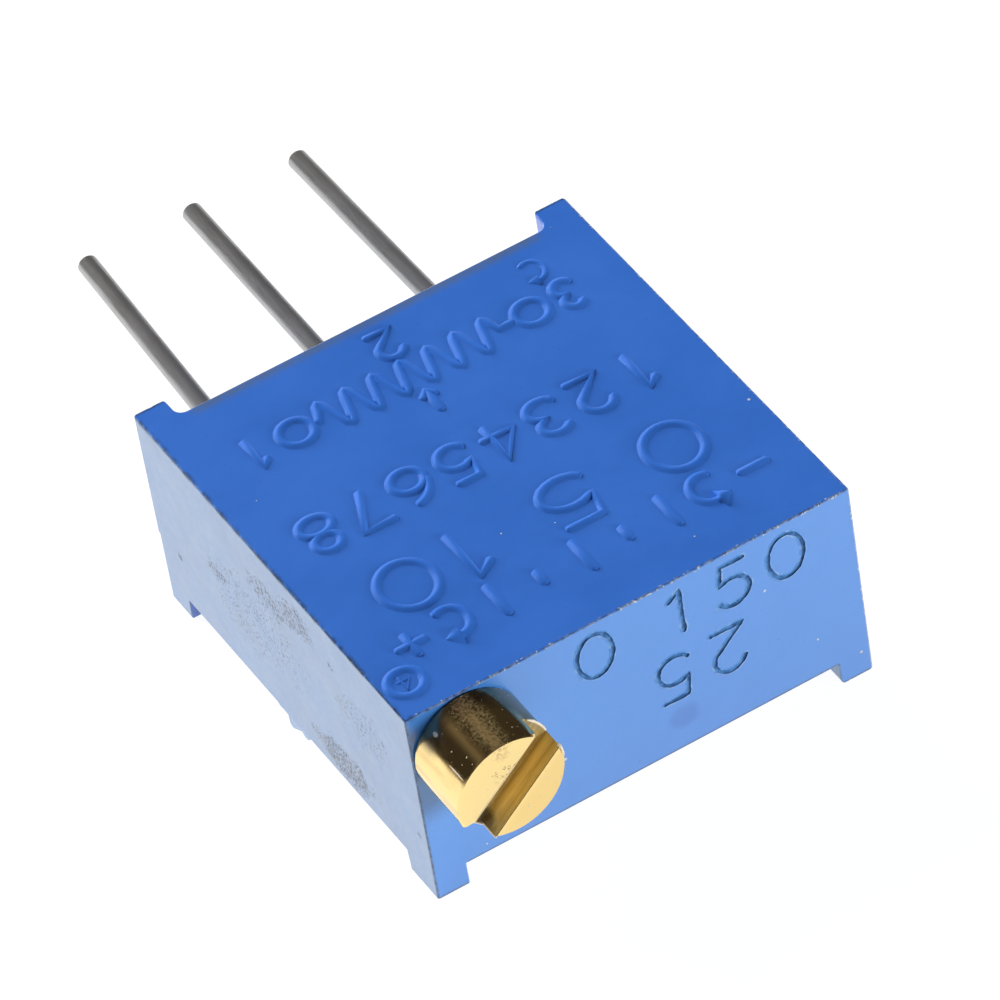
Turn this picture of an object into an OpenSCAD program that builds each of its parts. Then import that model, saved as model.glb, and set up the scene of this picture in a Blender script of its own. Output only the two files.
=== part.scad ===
// Multi-turn trimmer potentiometer: the slotted screw is a worm that turns a rotor under the
// label face, and the rotor sweeps a sprung wiper along a printed resistive arc.
// It lies with the label face up. +X runs along the terminal row from terminal 1 to terminal 3,
// +Y is the way the terminals point, and the screw comes out of the -Y face.
// Origin: axis of the middle terminal, at the plane where the ribs meet the circuit board.

/* [Body] */
// Width of the body along the terminal row
body_w = 9.53; // [9.2:0.01:10.4]
// Length of the moulded block, screw face to terminal face
body_l = 9.5; // [9.2:0.01:10.6]
// Overall thickness, feet to label face
body_t = 4.75; // [4.3:0.01:5.4]
// Thickness of the side walls and of the label wall
shell = 0.38; // [0.34:0.01:0.42]
// Thickness of the wall that the screw passes through
front_wall = 0.6; // [0.5:0.05:0.7]
// Thickness of the wall that the terminals pass through
rear_wall = 0.6; // [0.5:0.05:0.7]

/* [Feet and ribs] */
// Height of the corner feet below the skirt
foot_h = 0.53; // [0.4:0.01:0.6]
// Width of a foot and of a board rib
foot_w = 0.7; // [0.6:0.01:0.9]
// Length of the two feet at the screw end
front_foot_l = 1.0; // [0.8:0.05:1.3]
// Length of the two feet at the terminal end, ribs included
rear_foot_l = 0.9; // [0.7:0.05:1.2]
// How far the board ribs stand out of the terminal face
standoff = 0.53; // [0.4:0.01:0.65]
// Radius at the inner root of a board rib
rib_fillet = 0.2; // [0.1:0.01:0.3]
// Mismatch of the two mould halves on the rib ends
mould_step = 0.05; // [0.02:0.01:0.12]
// Height of the mould's parting line above the feet
parting_h = 1.7; // [1.2:0.1:2.4]

/* [Terminals] */
// Distance between neighbouring terminals
pitch = 2.54; // [2.4:0.01:2.6]
// Diameter of the terminal wire
pin_d = 0.42; // [0.38:0.01:0.5]
// Length of a terminal beyond the board plane
pin_len = 7.05; // [3:0.05:12]
// Underside of the feet to the terminal axes
pin_rise = 2.05; // [1.95:0.01:2.15]
// Length of wire inside the terminal wall
pin_root = 1.0; // [0.8:0.05:1.15]
// Lean of terminals 1, 2 and 3 towards +X
pin_lean = [2.4, 0.4, -0.8]; // [-5:0.1:5]
// Offset of terminals 1, 2 and 3 from their nominal places
pin_shift = [-0.09, 0, 0.03]; // [-0.1:0.01:0.1]
// Height of the domed tip of a terminal
tip_h = 0.12; // [0.08:0.01:0.18]
// Side of the square neck that keys a terminal into the resin
pin_neck = 0.26; // [0.2:0.01:0.26]

/* [Adjustment screw] */
// Diameter of the slotted head
head_d = 2.27; // [2.0:0.01:2.3]
// Length of the head
head_l = 1.5; // [1.1:0.05:1.8]
// Chamfer round the head's rim
head_chamfer = 0.04; // [0.02:0.01:0.1]
// Width of the screwdriver slot
slot_w = 0.7; // [0.5:0.01:0.8]
// Depth of the screwdriver slot
slot_depth = 0.5; // [0.3:0.01:0.9]
// Angle of the slot above +X, seen from the front
slot_angle = 41.5; // [0:0.5:180]
// Offset of the slot from the head's centre
slot_offset = 0.09; // [0:0.01:0.12]
// Diameter of the plain necks at the ends of the worm
neck_d = 0.9; // [0.8:0.01:1.0]
// Diameter of the journal at the inner end
end_journal_d = 0.8; // [0.7:0.01:0.9]
// Length of the end journal inside its bearing
end_journal_l = 1.0; // [0.8:0.05:1.1]
// Front face of the body to the sealing ring's groove
seal_depth = 0.5; // [0.45:0.05:0.6]
// Thickness of the sealing ring's cord
seal_cord_d = 0.26; // [0.22:0.01:0.28]
// Thickness of the retaining clip
clip_t = 0.2; // [0.15:0.01:0.25]
// Width of one arm of the retaining clip
clip_arm = 0.23; // [0.2:0.01:0.26]
// Length of journal between the grooves and behind the last one
land_l = 0.25; // [0.2:0.05:0.3]
// Plastic round the screw's two bearings
block_wall = 0.3; // [0.25:0.05:0.35]

/* [Gear train] */
// Teeth on the rotor, so turns of the screw for one turn of the rotor
gear_teeth = 30; // [26:2:34]
// Pitch diameter of the worm
worm_pitch_d = 1.12; // [1.04:0.01:1.2]
// Height of a tooth above the pitch line
addendum = 0.15; // [0.12:0.01:0.16]
// Gap between a tooth's tip and the root that it runs in
root_gap = 0.04; // [0.03:0.005:0.06]
// Slope of the tooth flanks
pressure_angle = 20; // [18:1:22]
// Play between meshing flanks
backlash = 0.08; // [0.06:0.01:0.1]
// Face width of the rotor's teeth
gear_w = 0.9; // [0.7:0.05:1.0]
// Whole turns of worm thread, an odd number so that a gap faces the rotor
worm_turns = 7; // [5:2:7]

/* [Rotor and wiper] */
// Diameter of the fixed post that the rotor turns on
post_d = 1.8; // [1.6:0.05:1.9]
// Wall of the rotor's thrust collar round the post
collar_wall = 0.5; // [0.4:0.05:0.6]
// Wall of the rotor's lower boss round the post
boss_wall = 0.85; // [0.8:0.05:0.9]
// Total travel of the rotor between its stops, in degrees
travel = 300; // [270:5:310]
// Radial width of the stop lug and of the fixed stop
stop_w = 0.75; // [0.5:0.05:0.8]
// Height of the wiper's mounting plate above the printed films
wiper_h = 0.54; // [0.45:0.01:0.6]
// Thickness of the wiper's sheet
wiper_t = 0.07; // [0.05:0.01:0.08]
// Width of one wiper finger
finger_w = 0.13; // [0.1:0.01:0.14]
// Gap between neighbouring fingers
finger_gap = 0.05; // [0.04:0.01:0.07]
// Fingers on the resistive arc
outer_fingers = 4; // [3:1:4]
// Fingers on the collector ring
inner_fingers = 3; // [2:1:3]
// Diameter of the two rivet heads that hold the wiper
stake_d = 0.3; // [0.25:0.01:0.35]

/* [Printed element] */
// Thickness of the ceramic substrate
substrate_t = 0.635; // [0.5:0.005:0.65]
// Gap between the substrate's edges and the walls
substrate_gap = 0.08; // [0.04:0.01:0.12]
// Thickness of the printed films
film_t = 0.04; // [0.02:0.005:0.05]
// Mean radius of the resistive arc
track_r = 2.45; // [2.3:0.01:2.6]
// Width of the resistive arc
track_w = 0.6; // [0.5:0.01:0.7]
// Mean radius of the collector ring
collector_r = 1.1; // [1.05:0.01:1.15]
// Width of the collector ring
collector_w = 0.45; // [0.35:0.01:0.5]
// Width of the conductors that lead to the terminals
lead_w = 0.4; // [0.3:0.01:0.42]
// Width of a terminal's pad
pad_w = 1.0; // [0.8:0.05:1.2]
// Thickness of the solder round a terminal
solder_t = 0.14; // [0.1:0.01:0.18]
// Thickness of the solder between a terminal and its pad
solder_film = 0.02; // [0.01:0.005:0.04]

/* [Clearances] */
// Radial running gap of the screw and of the rotor
run_gap = 0.035; // [0.03:0.005:0.05]
// Gap of a sliding face along its axis
end_gap = 0.05; // [0.03:0.01:0.08]
// Gap between the worm's crest and the walls
worm_gap = 0.07; // [0.06:0.01:0.1]
// Gap round the retaining clip in its slot
clip_gap = 0.02; // [0.01:0.01:0.03]
// Gap under the wiper's fingers
contact_gap = 0.025; // [0.02:0.005:0.03]
// Play at the rotor's stops, in degrees
stop_play = 1; // [0.5:0.5:2]
// Depth of the sealing resin's face inside the skirt
potting_dip = 0.03; // [0.01:0.01:0.1]

/* [Hidden] */
$fn = 64;
lap = 0.05; // how far joined solids of one piece run into each other

// heights, measured from the terminal axes
label_z = body_t - pin_rise;
feet_z = -pin_rise;
skirt_z = feet_z + foot_h;
resin_z = skirt_z + potting_dip; // outer face of the resin, and the top of the feet's blocks
parting_z = feet_z + parting_h;
roof_z = label_z - shell;
film_z = -pin_d / 2 - solder_film;
substrate_z = film_z - film_t;

// stations along the body, measured from the board plane
rear_y = -standoff;
front_y = rear_y - body_l;
rear_in_y = rear_y - rear_wall;
front_in_y = front_y + front_wall;
rotor_y = (front_y + rear_y) / 2;
side_x = body_w / 2;
cavity_w = body_w - 2 * shell;

// worm and gear
worm_pitch_r = worm_pitch_d / 2;
worm_tip_r = worm_pitch_r + addendum;
worm_root_r = worm_pitch_r - addendum - root_gap;
screw_edge = shell + worm_gap + worm_tip_r;
screw_x = screw_edge - side_x;
screw_z = label_z - screw_edge;
gear_pitch_r = -screw_x - worm_pitch_r;
gear_tip_r = gear_pitch_r + addendum;
gear_root_r = gear_pitch_r - addendum - root_gap;
gear_base_r = gear_pitch_r * cos(pressure_angle);
thread_pitch = 2 * PI * gear_pitch_r / gear_teeth;
lead_angle = atan(thread_pitch / (2 * PI * worm_pitch_r));
gear_z = screw_z - gear_w / 2;
gear_twist = gear_w * tan(lead_angle) / gear_pitch_r * 180 / PI;

// worm thread, cut as a straight-sided rack
thread_steps = 24; // facets in one turn of thread
runout_steps = 6; // facets over which the thread fades in and out
thread_count = thread_steps * worm_turns;
thread_tip_w = thread_pitch / 2 - 2 * addendum * tan(pressure_angle) - backlash / 2;
thread_root_w = thread_tip_w + 2 * (worm_tip_r - worm_root_r) * tan(pressure_angle);
worm_lead_in = 0.1; // plain core at each end of the thread
worm_half_l = (thread_pitch * worm_turns + thread_root_w) / 2 + worm_lead_in;

// screw, from its front end
assembly_step = 0.04; // the journal's radius over the worm's, so that the worm passes the bore
seal_proud = 0.01; // how far the sealing ring stands out of its groove
seal_groove_w = seal_cord_d + 0.09; // the ring, and room for it to spread
end_reach = 0.1; // how far the end journal goes into the terminal wall
journal_r = worm_tip_r + assembly_step;
bore_r = journal_r + run_gap;
groove_r = neck_d / 2; // bottom of the clip groove
seal_groove_r = journal_r + seal_proud - seal_cord_d;
seal_y = front_y + seal_depth; // front flank of the seal groove
clip_groove_w = clip_t + 2 * end_gap;
clip_y = seal_y + seal_groove_w + land_l; // front flank of the clip groove
boss_end_y = clip_y + clip_groove_w + land_l;
boss_r = bore_r + block_wall; // half width of the block round the bore
clip_in_w = 2 * (groove_r + end_gap);
clip_out_w = clip_in_w + 2 * clip_arm;
end_bore_r = end_journal_d / 2 + run_gap;
end_boss_r = end_bore_r + block_wall; // half width of the block round the end journal
screw_end_y = rear_in_y + end_reach;
bearing_y = screw_end_y - end_journal_l + end_gap;

// rotor and wiper
post_r = post_d / 2;
rotor_bore_r = post_r + run_gap;
collar_r = rotor_bore_r + collar_wall;
boss_low_r = rotor_bore_r + boss_wall;
plate_z = film_z + wiper_h; // underside of the wiper's plate
rotor_low_z = plate_z + wiper_t;
stop_inset = 0.3; // thrust collar to the stop lug
wiper_arc = 16; // angle that the wiper's own width adds to its travel
pad_margin = 0.1; // how far a pad reaches past the end of its wire
notch_margin = 0.24; // resin round a terminal in its wall
stop_in_r = collar_r + stop_inset;
stop_out_r = stop_in_r + stop_w;
stop_arc = 180 - travel / 2 - stop_play; // angle that the lug and the fixed stop each fill
stake_r = (rotor_bore_r + boss_low_r) / 2; // radius of the circle that the rivets lie on

// printed element
track_arc = travel + wiper_arc;
termination_arc = 12;
substrate_w = cavity_w - 2 * substrate_gap;
substrate_front_y = front_in_y + substrate_gap;
substrate_rear_y = rear_in_y - substrate_gap;
pad_y = rear_in_y - pin_root - pad_margin;
notch_r = pin_d / 2 + notch_margin;

blue = [0.20, 0.40, 0.78];
resin_blue = [0.26, 0.42, 0.68];
brass = [0.85, 0.66, 0.30];
ceramic = [0.93, 0.92, 0.88];
conductor = [0.78, 0.78, 0.76];
tin = [0.55, 0.55, 0.56];

function nominal_x(n) = (n - 2) * pitch;
function pin_x(n) = nominal_x(n) + pin_shift[n - 1];
function reversed(list) = [for (i = [len(list) - 1:-1:0]) list[i]];

// A box between two corners
module span(low, high) {
    translate(low) cube(high - low);
}

// Turns a shape made along +Z to lie along +Y on the screw's axis, starting at station y
module on_screw_axis(y) {
    translate([screw_x, y, screw_z]) rotate([-90, 0, 0]) children();
}

// ---------------------------------------------------------------- housing

// One board rib, with the foot under it and the fillet at its inner root
module rib_and_foot(side) {
    x_in = side_x - foot_w;
    mirror([side < 0 ? 1 : 0, 0, 0]) {
        difference() {
            span([x_in, rear_y - lap, skirt_z], [side_x, 0, label_z]);
            span([x_in - 1, -mould_step, skirt_z - 1], [side_x + 1, 1, parting_z]);
        }
        span([x_in, -rear_foot_l, feet_z], [side_x, -mould_step, resin_z]);
        difference() {
            span([x_in - rib_fillet, rear_y - lap, skirt_z],
                [x_in + lap, rear_y + rib_fillet, label_z]);
            translate([x_in - rib_fillet, rear_y + rib_fillet, skirt_z - 1])
                cylinder(r = rib_fillet, h = label_z - skirt_z + 2);
        }
    }
}

// Outline in the X-Z plane of the gap that one terminal and its resin pass through
module notch_outline(n) {
    translate([nominal_x(n), 0]) {
        circle(r = notch_r);
        translate([-notch_r, skirt_z - 1]) square([2 * notch_r, 1 - skirt_z]);
    }
}

module along_y(y0, y1) {
    translate([0, y1, 0]) rotate([90, 0, 0]) linear_extrude(y1 - y0) children();
}

// A stretch of ring round the rotor's axis, centred on the angle given
module arc_block(r_in, r_out, arc, middle, z0, z1) {
    translate([0, rotor_y, z0])
        rotate([0, 0, middle - arc / 2])
            rotate_extrude(angle = arc)
                translate([r_in, 0]) square([r_out - r_in, z1 - z0]);
}

module housing() {
    post_low_z = plate_z - end_gap;
    ledge = 0.45; // side of the corner posts that the substrate seats on
    color(blue) difference() {
        union() {
            // the shell, hollow from below
            difference() {
                span([-side_x, front_y, skirt_z], [side_x, rear_y, label_z]);
                span([-cavity_w / 2, front_in_y, skirt_z - 1], [cavity_w / 2, rear_in_y, roof_z]);
            }
            for (side = [-1, 1]) {
                rib_and_foot(side);
                mirror([side < 0 ? 1 : 0, 0, 0]) {
                    span([side_x - foot_w, front_y, feet_z],
                        [side_x, front_y + front_foot_l, resin_z]);
                    for (y = [front_in_y - lap, rear_in_y - ledge])
                        span([cavity_w / 2 - ledge, y, substrate_z],
                            [cavity_w / 2 + lap, y + ledge + lap, roof_z + lap]);
                }
            }
            // blocks that carry the screw at its two ends
            span([-cavity_w / 2 - lap, front_in_y - lap, screw_z - boss_r],
                [screw_x + boss_r, boss_end_y, roof_z + lap]);
            span([-cavity_w / 2 - lap, bearing_y, screw_z - end_boss_r],
                [screw_x + end_boss_r, rear_in_y + lap, roof_z + lap]);
            // post that the rotor turns on, and the stop that ends its travel
            translate([0, rotor_y, post_low_z]) cylinder(r = post_r, h = roof_z + lap - post_low_z);
            arc_block(stop_in_r, stop_out_r, stop_arc, 90, gear_z + gear_w + end_gap, roof_z + lap);
        }
        // bores for the screw
        on_screw_axis(front_y - 1) cylinder(r = bore_r, h = boss_end_y - front_y + 2);
        on_screw_axis(bearing_y - 1)
            cylinder(r = end_bore_r, h = screw_end_y + end_gap - bearing_y + 1);
        // slot that the retaining clip is pushed into from below
        span([screw_x - clip_out_w / 2 - clip_gap, clip_y + end_gap - clip_gap, screw_z - boss_r - 1],
            [screw_x + clip_out_w / 2 + clip_gap, clip_y + end_gap + clip_t + clip_gap,
                screw_z + clip_in_w / 2 + clip_gap]);
        // gaps for the terminals
        for (n = [1:3]) along_y(rear_in_y - lap, rear_y + 1) notch_outline(n);
    }
}

// Resin that closes the underside and the terminal gaps, with a ragged run over one skirt
module potting() {
    run_w = 0.2; // width of the run inside the skirt
    color(resin_blue) difference() {
        union() {
            span([-cavity_w / 2, front_in_y, resin_z],
                [cavity_w / 2, rear_in_y, substrate_z - substrate_t]);
            along_y(rear_in_y - lap, rear_y) intersection() {
                translate([-side_x, resin_z]) square([body_w, label_z - resin_z]);
                for (n = [1:3]) notch_outline(n);
            }
            translate([-side_x, rotor_y + 0.5, skirt_z]) rotate([90, 0, 90]) {
                linear_extrude(shell + run_w)
                    polygon([[0.5, 0], [0.42, -0.05], [0.3, -0.03], [0.13, -0.04], [0.1, -0.26],
                        [0, -0.3], [-0.1, -0.24], [-0.38, -0.08], [-0.48, -0.16], [-0.6, -0.13],
                        [-0.75, 0]]);
                translate([-0.75, -0.01, shell]) cube([1.25, potting_dip + lap, run_w]);
            }
        }
        for (n = [1:3]) pin_wire(n);
    }
}

// ---------------------------------------------------------------- adjustment screw

function worm_point(i, r, shift) =
    [r * cos(360 * i / thread_steps), r * sin(360 * i / thread_steps),
        thread_pitch * (i - thread_count / 2) / thread_steps + shift];

// Thread height at step i, fading out at both ends
function thread_h(i) = (worm_tip_r - worm_root_r)
    * min(1, i / runout_steps, (thread_count - i) / runout_steps);

// Two triangles of the quad between steps i and i + 1, given its four corner indices
function quad(a, b, c, d) = [[a, d, c], [a, c, b]];

// The toothed stretch of the screw: a right-hand ridge on a plain core, centred on z = 0.
// Each step along the thread has four points, root-crest-crest-root, and a ring of points
// closes the core at each end.
module worm() {
    thread = [for (i = [0:thread_count]) each [
        worm_point(i, worm_root_r, -thread_root_w / 2),
        worm_point(i, worm_root_r + thread_h(i), -thread_tip_w / 2),
        worm_point(i, worm_root_r + thread_h(i), thread_tip_w / 2),
        worm_point(i, worm_root_r, thread_root_w / 2)]];
    first = len(thread);
    last = first + thread_steps;
    rings = [for (z = [-worm_half_l, worm_half_l]) each [for (j = [0:thread_steps - 1])
        [worm_root_r * cos(360 * j / thread_steps), worm_root_r * sin(360 * j / thread_steps), z]]];
    end = 4 * thread_count;
    tail = end - 4 * thread_steps;
    ridge_faces = [for (i = [0:thread_count - 1], k = [0:2])
        each quad(4 * i + k, 4 * i + 4 + k, 4 * i + 5 + k, 4 * i + 1 + k)];
    root_faces = [for (i = [0:thread_count - thread_steps - 1])
        each quad(4 * i + 3, 4 * i + 7, 4 * (i + thread_steps) + 4, 4 * (i + thread_steps))];
    start_faces = [for (j = [0:thread_steps - 2])
        each quad(first + j, first + j + 1, 4 * j + 4, 4 * j)];
    end_faces = [for (j = [1:thread_steps - 1])
        each quad(tail + 4 * j + 3, tail + 4 * j + 7, last + (j + 1) % thread_steps, last + j)];
    start_seam = [first, 0, 1, 2, 3, 4 * thread_steps, 4 * thread_steps - 4];
    end_seam = [tail + 3, end, end + 1, end + 2, end + 3, last, last + 1];
    seam_faces = [for (k = [0:5]) each [
        [first + thread_steps - 1, start_seam[k + 1], start_seam[k]],
        [tail + 7, end_seam[k], end_seam[k + 1]]]];
    disc_faces = [[for (j = [0:thread_steps - 1]) first + j],
        [for (j = [thread_steps - 1:-1:0]) last + j]];
    polyhedron(concat(thread, rings),
        concat(ridge_faces, root_faces, start_faces, end_faces, seam_faces, disc_faces));
}

// Turned outline of the screw from its head to the worm: radius, then depth behind the head
module front_outline() {
    head_r = head_d / 2;
    c = head_chamfer;
    seat = head_l + end_gap; // head's front to the housing's front face
    seal_0 = seat + seal_y - front_y;
    clip_0 = seat + clip_y - front_y;
    journal_1 = seat + boss_end_y - front_y;
    worm_0 = seat + rotor_y - worm_half_l - front_y;
    taper_l = 0.12; // journal to neck
    polygon([[0, 0], [head_r - c, 0], [head_r, c], [head_r, head_l], [journal_r, head_l],
        [journal_r, seal_0], [seal_groove_r, seal_0], [seal_groove_r, seal_0 + seal_groove_w],
        [journal_r, seal_0 + seal_groove_w], [journal_r, clip_0], [groove_r, clip_0],
        [groove_r, clip_0 + clip_groove_w], [journal_r, clip_0 + clip_groove_w],
        [journal_r, journal_1], [neck_d / 2, journal_1 + taper_l], [neck_d / 2, worm_0 + lap],
        [0, worm_0 + lap]]);
}

// Turned outline of the screw behind the worm: radius, then distance from the worm's end
module rear_outline() {
    c = 0.06; // lead-in chamfers of the journal
    shoulder = bearing_y - end_gap - (rotor_y + worm_half_l);
    tip = screw_end_y - (rotor_y + worm_half_l);
    polygon([[0, -lap], [neck_d / 2, -lap], [neck_d / 2, shoulder],
        [end_journal_d / 2, shoulder], [end_journal_d / 2, tip - c],
        [end_journal_d / 2 - c, tip], [0, tip]]);
}

module adjustment_screw() {
    head_y = front_y - end_gap - head_l;
    color(brass) difference() {
        union() {
            on_screw_axis(head_y) rotate_extrude() front_outline();
            on_screw_axis(rotor_y) worm();
            on_screw_axis(rotor_y + worm_half_l) rotate_extrude() rear_outline();
        }
        on_screw_axis(head_y) rotate([0, 0, -slot_angle])
            translate([-head_d, slot_offset - slot_w / 2, -1])
                cube([2 * head_d, slot_w, slot_depth + 1]);
    }
}

module shaft_seal() {
    color([0.15, 0.15, 0.16])
        on_screw_axis(seal_y + seal_groove_w / 2)
            rotate_extrude()
                translate([seal_groove_r + seal_cord_d / 2, 0]) circle(d = seal_cord_d);
}

// Stamped fork that straddles the screw's groove
module retaining_clip() {
    bridge_z = screw_z - boss_r + end_gap;
    color([0.72, 0.56, 0.32])
        along_y(clip_y + end_gap, clip_y + end_gap + clip_t) difference() {
            translate([screw_x - clip_out_w / 2, bridge_z])
                square([clip_out_w, screw_z + clip_in_w / 2 - bridge_z]);
            translate([screw_x, screw_z]) circle(d = clip_in_w);
            translate([screw_x - clip_in_w / 2, screw_z]) square(clip_in_w);
        }
}

// ---------------------------------------------------------------- rotor and wiper

function involute(a) = tan(a) * 180 / PI - a;

// Half the angle that a rotor tooth fills at radius r
function tooth_half(r) = 90 / gear_teeth - backlash / 4 / gear_pitch_r * 180 / PI
    + involute(pressure_angle) - involute(acos(min(1, gear_base_r / r)));

module gear_outline() {
    flank = [gear_root_r, gear_pitch_r, gear_tip_r];
    polygon([for (t = [0:gear_teeth - 1]) each [
        for (r = flank) r * [cos(360 * t / gear_teeth - tooth_half(r)),
            sin(360 * t / gear_teeth - tooth_half(r))],
        for (r = reversed(flank)) r * [cos(360 * t / gear_teeth + tooth_half(r)),
            sin(360 * t / gear_teeth + tooth_half(r))]]]);
}

// Where the two rivets stand, seen from the rotor's axis
module at_stakes() {
    for (side = [-1, 1]) translate([side * stake_r, rotor_y, 0]) children();
}

module rotor_gear() {
    collar_top_z = roof_z - run_gap;
    rivet_h = 0.08; // height of a rivet's head under the wiper's plate
    color([0.90, 0.88, 0.82]) difference() {
        union() {
            // helical teeth that lean with the worm's thread
            translate([0, rotor_y, gear_z + gear_w / 2])
                linear_extrude(gear_w, center = true, twist = -gear_twist, slices = 2)
                    rotate([0, 0, -gear_twist / 2]) gear_outline();
            translate([0, rotor_y, gear_z + gear_w - lap])
                cylinder(r = collar_r, h = collar_top_z - gear_z - gear_w + lap);
            translate([0, rotor_y, rotor_low_z])
                cylinder(r = boss_low_r, h = gear_z + lap - rotor_low_z);
            arc_block(stop_in_r, stop_out_r, stop_arc, -90, gear_z + gear_w - lap,
                roof_z - end_gap);
            at_stakes() translate([0, 0, plate_z - rivet_h])
                cylinder(d = stake_d, h = rotor_low_z - plate_z + rivet_h + lap);
        }
        translate([0, rotor_y, rotor_low_z - 1]) cylinder(r = rotor_bore_r, h = roof_z + 2);
    }
}

// A row of bent fingers along +X, given the upper edge of one finger as radius and height
module finger_row(count, upper) {
    step = finger_w + finger_gap;
    lower = [for (p = reversed(upper)) p - [0, wiper_t]];
    for (i = [0:count - 1])
        translate([0, (i - (count - 1) / 2) * step + finger_w / 2, 0])
            rotate([90, 0, 0]) linear_extrude(finger_w) polygon(concat(upper, lower));
}

module wiper() {
    foot_z = film_z + contact_gap + wiper_t; // upper side of a finger where it touches down
    rise = 0.12; // turned-up tip of a finger
    ring_r = boss_low_r - 0.05;
    color([0.80, 0.68, 0.40]) difference() {
        union() {
            translate([0, rotor_y, plate_z]) cylinder(r = ring_r, h = wiper_t);
            translate([0, rotor_y, 0]) {
                rotate([0, 0, -90]) finger_row(outer_fingers, [[rotor_bore_r + 0.4, rotor_low_z],
                    [ring_r + 0.05, rotor_low_z], [track_r - 0.15, foot_z + 0.05],
                    [track_r, foot_z], [track_r + 0.15, foot_z + rise]]);
                rotate([0, 0, 90]) finger_row(inner_fingers, [[collector_r - 0.1, foot_z + rise],
                    [collector_r, foot_z], [collector_r + 0.12, foot_z + 0.05],
                    [ring_r - 0.15, rotor_low_z - 0.06], [ring_r - 0.02, rotor_low_z]]);
            }
        }
        translate([0, rotor_y, plate_z - 0.1]) cylinder(r = rotor_bore_r + 0.04, h = 1);
        at_stakes() translate([0, 0, plate_z - 1]) cylinder(d = stake_d, h = 2);
    }
}

// ---------------------------------------------------------------- printed element

module substrate() {
    color(ceramic) span([-substrate_w / 2, substrate_front_y, substrate_z - substrate_t],
        [substrate_w / 2, substrate_rear_y, substrate_z]);
}

module resistive_track() {
    color([0.12, 0.12, 0.13])
        arc_block(track_r - track_w / 2, track_r + track_w / 2, track_arc, -90, substrate_z, film_z);
}

// Pad under terminal n
module pad(n) {
    span([nominal_x(n) - pad_w / 2, pad_y, substrate_z],
        [nominal_x(n) + pad_w / 2, substrate_rear_y, film_z]);
}

module collector_track() {
    color(conductor) {
        arc_block(collector_r - collector_w / 2, collector_r + collector_w / 2, 360, 0,
            substrate_z, film_z);
        span([-lead_w / 2, rotor_y + collector_r, substrate_z], [lead_w / 2, pad_y + lap, film_z]);
        pad(2);
    }
}

// Conductor from one end of the arc to the pad of terminal 1 or 3
module end_termination(n) {
    side = n - 2;
    middle = -90 + side * (track_arc + termination_arc) / 2;
    out = middle + side * termination_arc / 2;
    in = middle - side * termination_arc / 2;
    r_out = track_r + track_w / 2;
    color(conductor) {
        arc_block(track_r - track_w / 2, r_out, termination_arc, middle, substrate_z, film_z);
        translate([0, 0, substrate_z]) linear_extrude(film_t)
            polygon([
                [(r_out - lap) * cos(out), rotor_y + (r_out - lap) * sin(out)],
                [(r_out - lap) * cos(in), rotor_y + (r_out - lap) * sin(in)],
                [side * (pitch + lead_w / 2), pad_y],
                [side * (pitch + lead_w / 2), pad_y + lap],
                [side * (pitch - lead_w), pad_y + lap]]);
        pad(n);
    }
}

module end_termination_1() end_termination(1);
module end_termination_3() end_termination(3);

// ---------------------------------------------------------------- terminals

// Puts what is made along +Z on the axis of terminal n, z = 0 being the outside of its wall
module on_terminal(n) {
    translate([pin_x(n), rear_y, 0]) rotate([0, 0, -pin_lean[n - 1]]) rotate([-90, 0, 0]) children();
}

// Round wire of terminal n: soldered root, square neck in the wall, free end with a domed tip
module pin_wire(n) {
    r = pin_d / 2;
    tip_l = (pin_len + standoff) / cos(pin_lean[n - 1]);
    dome_r = (r * r + tip_h * tip_h) / (2 * tip_h);
    on_terminal(n) {
        translate([0, 0, -rear_wall - pin_root]) cylinder(r = r, h = pin_root);
        span([-pin_neck / 2, -pin_neck / 2, -rear_wall - lap], [pin_neck / 2, pin_neck / 2, 0]);
        translate([0, 0, -lap]) cylinder(r = r, h = tip_l - tip_h + lap);
        translate([0, 0, tip_l - tip_h]) intersection() {
            translate([0, 0, tip_h - dome_r]) sphere(r = dome_r);
            cylinder(r = 2 * r, h = 1);
        }
    }
}

module terminal_pin_1() color(tin) pin_wire(1);
module terminal_pin_2() color(tin) pin_wire(2);
module terminal_pin_3() color(tin) pin_wire(3);

// Solder that wraps the wire's end and wets its pad
module solder_joint(n) {
    r = pin_d / 2 + solder_t;
    cover = 0.08; // how far the solder runs past the wire's end
    solder_l = pin_root + cover - 2 * r - 0.1;
    color([0.70, 0.70, 0.72]) difference() {
        on_terminal(n) translate([0, 0, r - rear_wall - pin_root - cover]) {
            sphere(r = r);
            cylinder(r = r, h = solder_l);
            translate([0, 0, solder_l]) sphere(r = r);
        }
        pin_wire(n);
        translate([pin_x(n) - 1, rear_in_y - pin_root - 1, film_z - 2]) cube([2, pin_root + 2, 2]);
    }
}

module solder_joint_1() solder_joint(1);
module solder_joint_2() solder_joint(2);
module solder_joint_3() solder_joint(3);

housing();
potting();
adjustment_screw();
shaft_seal();
retaining_clip();
rotor_gear();
wiper();
substrate();
resistive_track();
collector_track();
end_termination_1();
end_termination_3();
terminal_pin_1();
terminal_pin_2();
terminal_pin_3();
solder_joint_1();
solder_joint_2();
solder_joint_3();
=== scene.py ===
from math import cos, pi, radians, sin

import bmesh
import bpy
from mathutils import Matrix, Vector


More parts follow.
